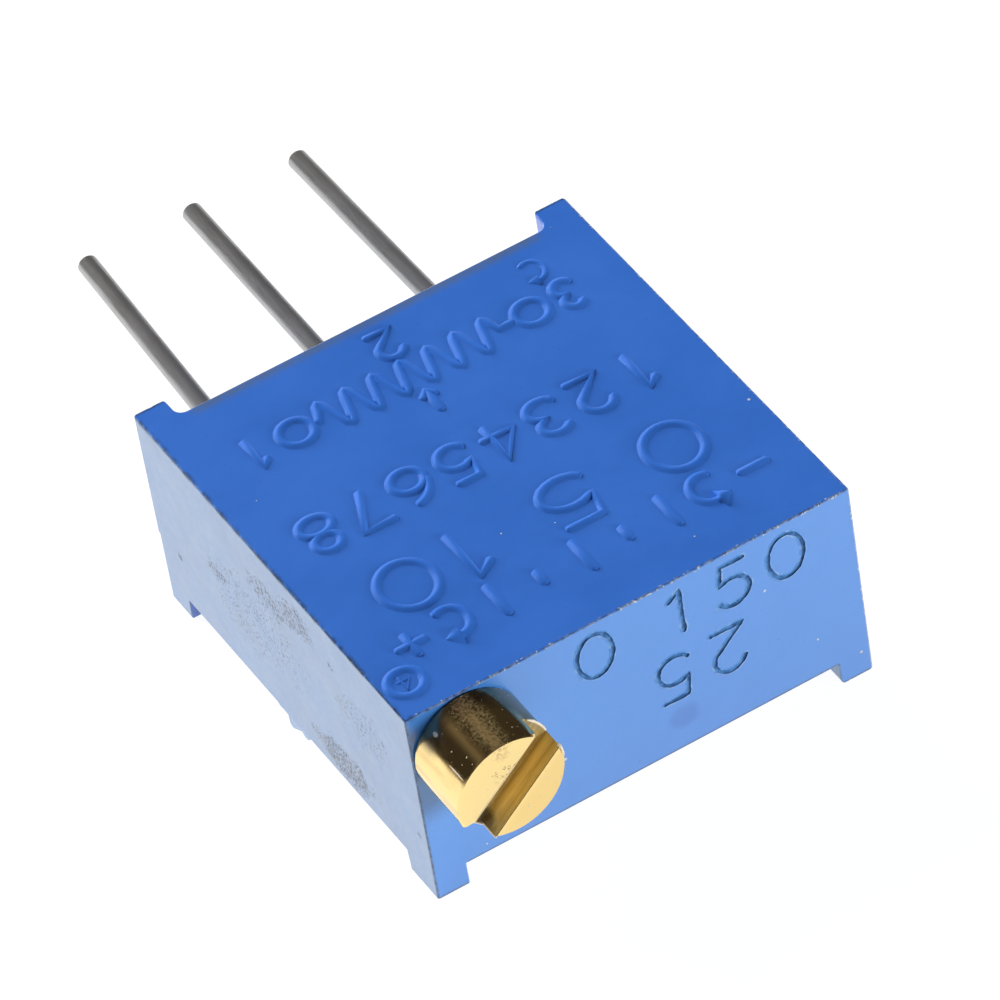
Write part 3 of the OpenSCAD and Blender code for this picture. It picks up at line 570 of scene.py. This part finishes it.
def corner_share(edge):
    """How much of the largest radius a corner of the moulding has: none inside, and none where resin
    ran over the skirt and lies flush with it."""
    a, b = (vertex.co for vertex in edge.verts)
    middle = (a + b) / 2
    lowest = middle.z < feet_z + near
    outside = (abs(middle.x) > side_x - near or middle.y < front_y + near or middle.z > label_z - near
        or middle.y > ribs_y or lowest)
    plain = all(face.material_index == 0 for face in edge.link_faces)
    flush = middle.x < near - side_x and abs(middle.z - skirt_z) < near
    if not outside or not plain or flush or edge.calc_face_angle(0) <= radians(40):
        return 0.0
    if lowest and abs(middle.x - inner_x) < near:
        return 1.0
    upright = abs(a.z - b.z) > 0.001 and middle.y > rear_y
    return 0.58 if upright or lowest and abs(middle.x - side_x) < near else 0.23


round_edges(shell, width=0.0002, segments=3, clamped=False, share=corner_share)
smooth_by_angle(shell, radians(35))
even = shell.modifiers.new("even", "WEIGHTED_NORMAL")
even.keep_sharp = True
settled(shell)
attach(shell, "housing")
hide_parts("housing")


# ------------------------------------------------------------------ raised marks
# The mould is engraved, so the label face carries low rounded ridges: the terminal diagram,
# plain scale numbers and the sense of the adjustment, read with the terminals pointing down.

def on_label(u0, v0):
    """Places strokes on the label face, upside down to the terminals."""
    return lambda u, v: ((u0 - u) * 0.001, (v0 - v) * 0.001, label_z)


def joined(name, pieces):
    """Puts the pieces' meshes together in the first of them."""
    shape = bmesh.new()
    for piece in pieces:
        shape.from_mesh(piece.data)
    shape.to_mesh(pieces[0].data)
    shape.free()
    for piece in pieces[1:]:
        bpy.data.objects.remove(piece)
    pieces[0].name = name
    pieces[0].data.shade_smooth()
    return pieces[0]


coil = []
for i in range(7):
    coil += [(i * 0.6 + 0.3 * t / 6, 0.42 * cos(pi * t / 6)) for t in range(6)]
    coil += [(i * 0.6 + 0.3 + 0.3 * t / 6, -0.42 * cos(pi * t / 6)) for t in range(6)]
diagram = [
    [(0.14, 0.0), (0.25, 0.0)] + [(0.3 + u, v) for u, v in coil[3:-3]] + [(4.38, 0.0), (4.47, 0.0)],
    [(2.4, 0.62), (2.4, 1.16)], [(2.27, 0.72), (2.4, 0.56), (2.53, 0.72)]]
bold, light, hair = (0.000135, 0.000058), (0.00009, 0.000038), (0.00006, 0.000025)
labels = [
    (diagram, on_label(2.33, -2.36), bold),
    (line_of("o", 0.86, 1.0), on_label(2.95, -1.93), bold),
    (line_of("o", 0.86, 1.0), on_label(-2.20, -1.93), bold),
    (line_of("3", 0.80, 1.0, 0.8), on_label(3.62, -1.96), bold),
    (line_of("1", 0.80, 1.0, 0.8), on_label(-3.25, -1.96), bold),
    (line_of("2", 0.78, 1.0), on_label(0.26, -1.01), bold),
    (line_of("(", 0.62, 1.0), on_label(3.45, -1.12), light),
    (line_of("12345678", 0.98, 0.98), on_label(3.66, -4.47), bold),
    (line_of("0 5 10", 1.26, 1.15, 1.25), on_label(3.38, -6.46), bold),
    (line_of("-)|.|.|(+", 0.84, 0.92), on_label(3.98, -8.02), bold),
    (line_of("o", 0.86, 1.0), on_label(-3.90, -8.77), bold),
    (line_of("4", 0.36, 1.0), on_label(-4.13, -9.02), hair)]
for index, (strokes, place, (half_width, rise)) in enumerate(labels):
    labels[index] = stroke_mesh("raised_mark_%d" % index, strokes, place)
    sweep(labels[index], Half_width=half_width, Rise=rise, Depth=0.00003, Sink=0.000006, Facing=(0, 0, 1),
        Material=blue)
ridges = joined("raised_marks", labels)
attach(ridges, "housing")


# ------------------------------------------------------------------ sealing resin
# Epoxy is poured in from below, over the ceramic, and wicks round the three terminals.
# A little of it ran over the skirt beside the screw and set there as a ragged flash.

resin, tree, shader = plain_material("sealing_resin", (0.07, 0.17, 0.45), 0.35)
glaze(shader)
at = millimetres(tree)
flow = use(tree, cloud, at, Per_mm=0.8, Low=0.3, High=0.7)
body = blend(tree, flow, (0.060, 0.150, 0.42), (0.10, 0.21, 0.50))
bubbles = use(tree, specks, at, Per_mm=1.5, Share=0.2, Size=0.22)
bubbles = ramp(tree, bubbles, 0.0, 1.0)
body = blend(tree, times(tree, bubbles, 0.5), body, (0.04, 0.10, 0.28))
edge_x = node(tree, "ShaderNodeSeparateXYZ", {0: at}).outputs["X"]
# beside the flank the resin is painted paler, to match the flank's painted sheen
body = blend(tree, ramp(tree, edge_x, 0.4 - side_mm, 0.05 - side_mm), body, (0.09, 0.30, 0.66))
tree.links.new(body, shader.inputs["Base Color"])
wave = use(tree, grain, at, Per_mm=0.7, Detail=3.0)
height = calc(tree, "SUBTRACT", times(tree, wave, 6.0), times(tree, bubbles, 1.2))
relief(tree, shader, height, 0.00003)


def dress(name, material, smooth=False):
    """Gives a CAD node its material and shading."""
    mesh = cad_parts[name].data
    mesh.materials.clear()
    mesh.materials.append(material)
    mesh.shade_flat()
    if smooth:
        mesh.shade_smooth()


dress("potting", resin)


# ------------------------------------------------------------------ adjustment screw
# One turned and gold-flashed brass piece: a slotted head outside, and behind the wall a
# journal with the seal and clip grooves, the worm and the end journal. The slot is milled
# across the head last, so its walls end in burrs.

# Streaks: grain drawn out along the axes on which it is coarse
streaks, given, out = shader_group("Streaks", [("Vector", "Vector", (0, 0, 0)),
    ("Per mm", "Vector", (1, 1, 1)), ("Detail", "Float", 4.0)], [("Height", "Float")])
drawn_out = node(streaks, "ShaderNodeMapping", {"Vector": given["Vector"], "Scale": given["Per mm"]}).outputs[0]
streaks.links.new(noise(streaks, drawn_out, 1.0, given["Detail"]), out["Height"])

screw_low, screw_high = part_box("adjustment_screw")
head_r = (screw_high.x - screw_low.x) / 2
screw_x = screw_high.x - head_r
screw_z = screw_high.z - head_r
head_front = screw_low.y
screw_x_mm, screw_z_mm, head_mm = (1000 * size for size in (screw_x, screw_z, head_front))
slot_turn, slot_off, slot_deep, slot_half = 41.5, -0.09, 0.50, 0.35
slot_low, slot_high = slot_off - slot_half, slot_off + slot_half

gold, tree, shader = plain_material("gold_flash", (1.0, 0.76, 0.33), 0.16, 1.0)
at = millimetres(tree)
xyz = node(tree, "ShaderNodeSeparateXYZ", {0: at}).outputs
end_face = ramp(tree, xyz["Y"], head_mm + 0.05, head_mm + 0.01)
across = vector_calc(tree, "DOT_PRODUCT", vector_calc(tree, "SUBTRACT", at, (screw_x_mm, 0, screw_z_mm)),
    (-sin(radians(slot_turn)), 0, cos(radians(slot_turn))))
from_middle = calc(tree, "ABSOLUTE", calc(tree, "SUBTRACT", across, slot_off))
in_slot = times(tree, ramp(tree, from_middle, slot_half + 0.012, slot_half + 0.004),
    ramp(tree, xyz["Y"], head_mm + slot_deep + 0.03, head_mm + slot_deep + 0.01),
    ramp(tree, xyz["Y"], head_mm + 0.005, head_mm + 0.03))
turned = use(tree, grain, node(tree, "ShaderNodeCombineXYZ", {1: xyz["Y"]}).outputs[0], Per_mm=30.0,
    Detail=3.0)
slant = node(tree, "ShaderNodeMapping", {"Vector": at, "Rotation": (0, radians(slot_turn), 0)}).outputs[0]
milled = use(tree, streaks, slant, Per_mm=(0.5, 6.0, 28.0))
runs = use(tree, streaks, at, Per_mm=(3.0, 0.5, 3.0), Detail=3.0)
smudge = times(tree, ramp(tree, runs, 0.45, 0.70), inverse(tree, end_face))
colour = blend(tree, times(tree, smudge, 0.6), (1.0, 0.77, 0.34), (0.70, 0.42, 0.20))
cast = use(tree, cloud, at, Per_mm=1.1, Low=0.3, High=0.7, Detail=5.0)
lower = times(tree, end_face, ramp(tree, across, slot_off - 0.3, slot_off - 0.45))
colour = blend(tree, times(tree, lower, 0.8), colour, (0.92, 0.66, 0.26))
colour = blend(tree, times(tree, end_face, cast, 0.4), colour, (0.95, 0.72, 0.32))
colour = blend(tree, in_slot, colour, blend(tree, ramp(tree, milled, 0.3, 0.7), (0.66, 0.46, 0.13),
    (1.0, 0.78, 0.30)))
# the root of the head is painted dark where it meets the wall, most on its right and along its top: painted
# shade, with some flux; the side is brown and speckled with dust
root_shade_and_flux = use(tree, patch, at, Centre=(screw_x_mm + 0.95, front_mm - 0.35, screw_z_mm + 0.75),
    Reach=(0.75, 1.1, 0.75), Ragged=0.5)
ring = plus(tree, xyz["Y"], times(tree, use(tree, cloud, at, Per_mm=1.5), 0.35))
ring = times(tree, ramp(tree, ring, front_mm - 0.55, front_mm - 0.05),
    ramp(tree, xyz["Z"], screw_z_mm + 0.45, screw_z_mm + 0.70))
root_shade_and_flux = calc(tree, "MAXIMUM", root_shade_and_flux, ring)
colour = blend(tree, times(tree, root_shade_and_flux, 0.8), colour, (0.20, 0.17, 0.13))
browned = use(tree, patch, at, Centre=(screw_x_mm - 0.10, front_mm - 0.75, screw_z_mm + 1.1),
    Reach=(0.36, 1.5, 0.5), Ragged=0.7)
browned = times(tree, browned, use(tree, cloud, at, Per_mm=18.0, Low=0.35, High=0.68, Detail=2.0))
colour = blend(tree, times(tree, browned, 0.65), colour, (0.44, 0.28, 0.15))
flake = use(tree, patch, at, Centre=(-4.36, front_mm - 0.33, 2.39), Reach=(0.055, 0.10, 0.055), Ragged=0.3)
sliver = use(tree, patch, at, Centre=(-4.495, front_mm - 1.28, 2.245), Reach=(0.020, 0.27, 0.020), Ragged=0.7)
flake = calc(tree, "MAXIMUM", flake, sliver)
dusty = use(tree, cloud, at, Per_mm=3.0, Low=0.40, High=0.65)
speck = ramp(tree, use(tree, specks, at, Per_mm=11.0, Share=0.34, Size=0.023), 0.2, 0.8)
speck = calc(tree, "MAXIMUM", times(tree, speck, plus(tree, times(tree, dusty, 0.8), 0.2)), flake)
colour = blend(tree, times(tree, speck, 0.7), colour, (0.95, 0.93, 0.86))
# the slot is darker at its lower end
dark_slot_end = use(tree, patch, at, Centre=(screw_x_mm - 0.55, head_mm + 0.5, screw_z_mm - 0.88),
    Reach=(0.32, 0.5, 0.32), Ragged=1.3)
colour = blend(tree, times(tree, in_slot, dark_slot_end, 0.85), colour, (0.13, 0.085, 0.035))
tree.links.new(colour, shader.inputs["Base Color"])
dull = calc(tree, "MAXIMUM", times(tree, speck, 0.8), times(tree, in_slot, 0.55))
dull = calc(tree, "MAXIMUM", dull, times(tree, browned, 0.28))
tree.links.new(inverse(tree, dull), shader.inputs["Metallic"])
rough = plus(tree, times(tree, calc(tree, "MAXIMUM", smudge, root_shade_and_flux), 0.14), times(tree, in_slot, 0.32))
tree.links.new(plus(tree, rough, 0.10, times(tree, end_face, 0.10)), shader.inputs["Roughness"])
lines = plus(tree, times(tree, turned, 0.2), times(tree, milled,
    plus(tree, times(tree, in_slot, 3.0), times(tree, end_face, 0.3))))
# the upper land is dented beside the slot where the last cut let go
scrape = use(tree, patch, at, Centre=(screw_x_mm - 0.12, head_mm, screw_z_mm + 0.41), Reach=(0.30, 1, 0.26),
    Ragged=0.8)
dents = ramp(tree, use(tree, specks, at, Per_mm=16.0, Share=0.5, Size=0.06), 0.1, 1.0)
dents = times(tree, end_face, scrape, dents, 4.0)
lines = plus(tree, lines, calc(tree, "SUBTRACT", times(tree, speck, 0.8), dents))
relief(tree, shader, lines, 0.000008)


def head_point(along, across, deep):
    """A point of the head from its place along and across the slot and below its front, in mm."""
    turn = radians(slot_turn)
    return (screw_x + (along * cos(turn) - across * sin(turn)) * 0.001, head_front + deep * 0.001,
        screw_z + (along * sin(turn) + across * cos(turn)) * 0.001)


screw = merged_copy("turned_screw", "adjustment_screw", gold)
# the thin tip of the upper land broke away where the cutter ran out
shape = bmesh.new()
outline = [(-0.807, 0.224), (-1.137, 0.472), (-1.35, 0.30), (-1.25, 0.10)]
ends = [[shape.verts.new(head_point(along, across, deep)) for along, across in outline] for deep in (-0.2, 0.48)]
shape.faces.new(ends[0])
shape.faces.new(ends[1])
for i in range(4):
    shape.faces.new((ends[0][i - 1], ends[0][i], ends[1][i], ends[1][i - 1]))
bmesh.ops.recalc_face_normals(shape, faces=shape.faces)
mesh = bpy.data.meshes.new("chip")
shape.to_mesh(mesh)
shape.free()
carve(screw, placed("chip", mesh))


def head_share(edge):
    """All of the radius at the head's edges, and none behind the wall."""
    on_head = max(vertex.co.y for vertex in edge.verts) < front_y - 0.0001
    return 1.0 if on_head and edge.calc_face_angle(0) > radians(50) else 0.0


round_edges(screw, width=0.00001, segments=2, clamped=True, share=head_share)
smooth_by_angle(screw, radians(30))
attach(screw, "screw")
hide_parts("adjustment_screw")


def at_rim(side):
    """Places strokes (across, deep) on the head's round side, at one end of the slot."""
    radius = head_r * 1000
    return lambda u, v: head_point(side * (radius ** 2 - u ** 2) ** 0.5, u, v)


# the cutter left a lip where it ran out at both ends, and another along the upper land
fresh = plain_material("fresh_edge", (1.0, 0.90, 0.70), 0.3, 0.3)[0]
outward = Vector((cos(radians(slot_turn)), 0, sin(radians(slot_turn))))
burrs = []
for label, place, facing, half_width, rise, step, points in (
        ("upper_lip", at_rim(1), outward, 0.000028, 0.000034, 0.04, [(0.14, slot_deep - 0.02, 0.6),
            (-0.02, slot_deep, 1.3), (-0.22, slot_deep), (slot_low, slot_deep + 0.02, 0.5)]),
        ("lower_lip", at_rim(-1), -outward, 0.000024, 0.000026, 0.04, [(-0.14, slot_deep, 0.6),
            (-0.30, slot_deep + 0.01, 1.2), (slot_low - 0.01, slot_deep - 0.06), (slot_low - 0.01, 0.02, 0.5)]),
        ("tip_lip", at_rim(1), outward, 0.000020, 0.000028, 0.03, [(slot_low + 0.01, 0.06, 1.3),
            (slot_low - 0.05, 0.005, 1.1), (slot_low - 0.24, 0.005, 0.3)]),
        ("land_lip", lambda u, v: head_point(u, v, 0.0), (0, -1, 0), 0.000016, 0.000012, 0.05,
            [(-0.80, slot_high + 0.015, 0.4), (-0.5, slot_high + 0.018, 1.1), (0.0, slot_high + 0.013, 0.8),
            (0.3, slot_high + 0.02, 1.2), (0.62, slot_high + 0.01, 0.3)])):
    burr = stroke_mesh(label, [finer(points, step)], place, 0.03)
    sweep(burr, Half_width=half_width, Rise=rise, Depth=0.00002, Sink=0.000004, Tremble=0.000006, Facets=12,
        Facing=tuple(facing), Material=fresh)
    burrs.append(burr)
burrs = joined("slot_burrs", burrs)
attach(burrs, "screw")


# ------------------------------------------------------------------ seal and clip
# A rubber ring in the screw's first groove keeps flux out, and a stamped bronze fork in the
# second holds the screw in the housing.

rubber, tree, shader, at, _ = mottled("seal_rubber", (0.03, 0.03, 0.033), 0.55, 0.0,
    (0.025, 0.025, 0.028), (0.045, 0.045, 0.05), Per_mm=3.0)
relief(tree, shader, use(tree, grain, at, Per_mm=20.0, Detail=3.0), 0.000006)
dress("shaft_seal", rubber, True)

bronze, tree, shader = plain_material("stamped_bronze", (0.72, 0.48, 0.26), 0.3, 1.0)
at = millimetres(tree)
rolled = use(tree, streaks, at, Per_mm=(2.0, 2.0, 24.0))
tree.links.new(blend(tree, rolled, (0.60, 0.38, 0.20), (0.80, 0.56, 0.32)), shader.inputs["Base Color"])
tree.links.new(plus(tree, times(tree, rolled, 0.2), 0.2), shader.inputs["Roughness"])
relief(tree, shader, rolled, 0.000004)
dress("retaining_clip", bronze)


# ------------------------------------------------------------------ rotor and wiper
# The rotor is moulded in ivory acetal and carries the wiper, a sheet-metal spring, riveted
# under it. Both turn with the screw's worm.

acetal, tree, shader, at, _ = mottled("ivory_acetal", (0.78, 0.74, 0.64), 0.38, 0.0,
    (0.74, 0.70, 0.60), (0.82, 0.79, 0.70), Per_mm=0.8)
texture = use(tree, grain, at, Per_mm=12.0, Detail=3.0)
tree.links.new(plus(tree, times(tree, texture, 0.15), 0.3), shader.inputs["Roughness"])
relief(tree, shader, texture, 0.000005)
dress("rotor_gear", acetal)
dress("wiper", bronze)


# ------------------------------------------------------------------ printed element
# An alumina plate carries a printed resistive arc, the collector ring and the conductors that
# lead to the three pads; all of it is screen-printed and fired.

alumina, tree, shader, at, _ = mottled("fired_alumina", (0.84, 0.83, 0.79), 0.6, 0.0,
    (0.80, 0.79, 0.75), (0.88, 0.87, 0.84), Per_mm=1.2)
relief(tree, shader, use(tree, grain, at, Per_mm=18.0), 0.000008)
dress("substrate", alumina)

for label, metallic, dark, light, names in (
        ("resistive_ink", 0.0, (0.015, 0.015, 0.017), (0.035, 0.035, 0.038), ["resistive_track"]),
        ("silver_ink", 1.0, (0.55, 0.54, 0.51), (0.74, 0.73, 0.70),
            ["collector_track", "end_termination_1", "end_termination_3"])):
    ink, tree, shader, at, screen = mottled(label, dark, 0.45, metallic, dark, light,
        Per_mm=7.0, Low=0.3, High=0.7)
    relief(tree, shader, screen, 0.000006)
    for name in names:
        dress(name, ink)


# ------------------------------------------------------------------ terminals and solder
# Three tinned copper wires, drawn and cut, with a domed tip. Inside they lie on the pads and
# are held by a smooth bead of solder.

tin, tree, shader = plain_material("drawn_tin", (0.58, 0.58, 0.58), 0.35, 0.78)
at = millimetres(tree)
xyz = node(tree, "ShaderNodeSeparateXYZ", {0: at}).outputs
drawn = use(tree, streaks, at, Per_mm=(14.0, 0.8, 14.0), Detail=5.0)
cloudy = use(tree, cloud, at, Per_mm=1.6, Low=0.3, High=0.7)
colour = blend(tree, drawn, (0.46, 0.46, 0.465), (0.64, 0.638, 0.63))
colour = blend(tree, times(tree, cloudy, 0.35), colour, (0.43, 0.425, 0.415))
flux = times(tree, ramp(tree, xyz["Y"], 1.6, -0.4), 0.5)
colour = blend(tree, flux, colour, (0.40, 0.37, 0.33))
tree.links.new(colour, shader.inputs["Base Color"])
tree.links.new(plus(tree, times(tree, drawn, 0.2), 0.32), shader.inputs["Roughness"])
relief(tree, shader, drawn, 0.000010)
for number in (1, 2, 3):
    wire = merged_copy("tinned_terminal_%d" % number, "terminal_pin_%d" % number, tin)
    smooth_by_angle(wire, radians(35))
    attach(wire, "housing")
    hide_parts("terminal_pin_%d" % number)

solder, tree, shader, at, frost = mottled("solder_bead", (0.62, 0.62, 0.64), 0.22, 1.0,
    (0.55, 0.55, 0.57), (0.70, 0.70, 0.72), Per_mm=3.0)
tree.links.new(plus(tree, times(tree, frost, 0.2), 0.15), shader.inputs["Roughness"])
for number in (1, 2, 3):
    dress("solder_joint_%d" % number, solder, True)


# ------------------------------------------------------------------ studio
# A white table under broad soft lamps, with a dim ceiling, seen by a long lens from the
# screw's side of the part.

def rays(tree):
    """Which rays come from the camera, and which from a mirror or glass."""
    path = node(tree, "ShaderNodeLightPath").outputs
    return path["Is Camera Ray"], calc(tree, "MAXIMUM", path["Is Glossy Ray"], path["Is Transmission Ray"])


def mixed_shader(tree, factor, first, second):
    """Mixes two shaders."""
    return node(tree, "ShaderNodeMixShader", {0: factor, 1: first, 2: second}).outputs[0]


# the table is plain white to the camera and in mirrors, over what the lamps light
floor_paint = bpy.data.materials.new("white_table")
floor_paint.use_nodes = True
tree = floor_paint.node_tree
tree.nodes.clear()
lit = node(tree, "ShaderNodeBsdfDiffuse", {"Color": (0.9, 0.9, 0.9, 1)}).outputs[0]
faint = node(tree, "ShaderNodeBsdfDiffuse", {"Color": (0.2, 0.2, 0.2, 1)}).outputs[0]
glow = node(tree, "ShaderNodeEmission", {"Color": (1, 1, 1, 1), "Strength": 0.95}).outputs[0]
both = node(tree, "ShaderNodeAddShader", {0: faint, 1: glow}).outputs[0]
node(tree, "ShaderNodeOutputMaterial",
    {"Surface": mixed_shader(tree, calc(tree, "MAXIMUM", *rays(tree)), lit, both)})
disc = bmesh.new()
bmesh.ops.create_circle(disc, cap_ends=True, segments=96, radius=1.0,
    matrix=Matrix.Translation((0, -0.004, feet_z)))
mesh = bpy.data.meshes.new("table")
disc.to_mesh(mesh)
disc.free()
mesh.materials.append(floor_paint)
placed("table", mesh)

world = bpy.data.worlds.new("studio")
world.use_nodes = True
tree = world.node_tree
tree.nodes.clear()
way = node(tree, "ShaderNodeSeparateXYZ", {0: node(tree, "ShaderNodeTexCoord").outputs["Generated"]}).outputs
# mirrors see a dark room with two warm bands, a bright skirting and a pale patch behind the part
room = 0.035
for middle, reach, level in ((-0.38, 0.20, 0.10), (0.10, 0.24, 0.10)):
    away = calc(tree, "ABSOLUTE", calc(tree, "SUBTRACT", way["X"], middle))
    room = plus(tree, room, times(tree, ramp(tree, away, reach, 0.0), level))
behind = times(tree, ramp(tree, way["Y"], 0.80, 0.93), ramp(tree, way["Z"], 0.40, 0.20, 0.0, 0.4))
walls = calc(tree, "MAXIMUM", ramp(tree, way["Z"], 0.05, 0.0), behind)
ambient = blend(tree, ramp(tree, way["Z"], 0.8, 0.2), (0.04, 0.04, 0.04), (0.28, 0.28, 0.28))
mirrored = blend(tree, walls, blend(tree, room, (0, 0, 0), (1.0, 0.86, 0.74)), (1, 1, 1))
soft, mirror, white = (node(tree, "ShaderNodeBackground", {"Color": colour}).outputs[0]
    for colour in (ambient, mirrored, (1, 1, 1, 1)))
camera_ray, shiny = rays(tree)
node(tree, "ShaderNodeOutputWorld",
    {"Surface": mixed_shader(tree, camera_ray, mixed_shader(tree, shiny, soft, mirror), white)})
bpy.context.scene.world = world

subject = Vector((0.0, -0.0035, 0.0))
for name, side, distance, size, power in (
        ("rear_window", (-0.25, 0.85, 0.42), 0.30, 0.20, 1.46),
        ("front_softbox", (0.55, -0.82, 0.14), 0.30, 0.11, 0.72)):
    lamp = bpy.data.lights.new(name, "AREA")
    lamp.size = size
    lamp.energy = power
    made = placed(name, lamp)
    made.visible_glossy = False
    toward = Vector(side).normalized()
    turn = toward.to_track_quat("Z", "Y").to_matrix().to_4x4()
    made.matrix_world = Matrix.Translation(subject + toward * distance) @ turn

lens = bpy.data.cameras.new("long_lens")
lens.lens = 314.42
lens.sensor_width = 36.0
lens.clip_start = 0.01
lens.clip_end = 10.0
camera_at = Vector((-0.047769, -0.111031, 0.114419))
ahead = Vector((0.29512, 0.65357, -0.69696)).normalized()
above = Vector((0.43993, 0.55457, 0.70633))
right = ahead.cross(above).normalized()
above = right.cross(ahead)
camera = placed("camera", lens)
camera.matrix_world = Matrix.Translation(camera_at) @ Matrix((right, above, -ahead)).transposed().to_4x4()
bpy.context.scene.camera = camera
bpy.context.scene.view_settings.view_transform = "Standard"
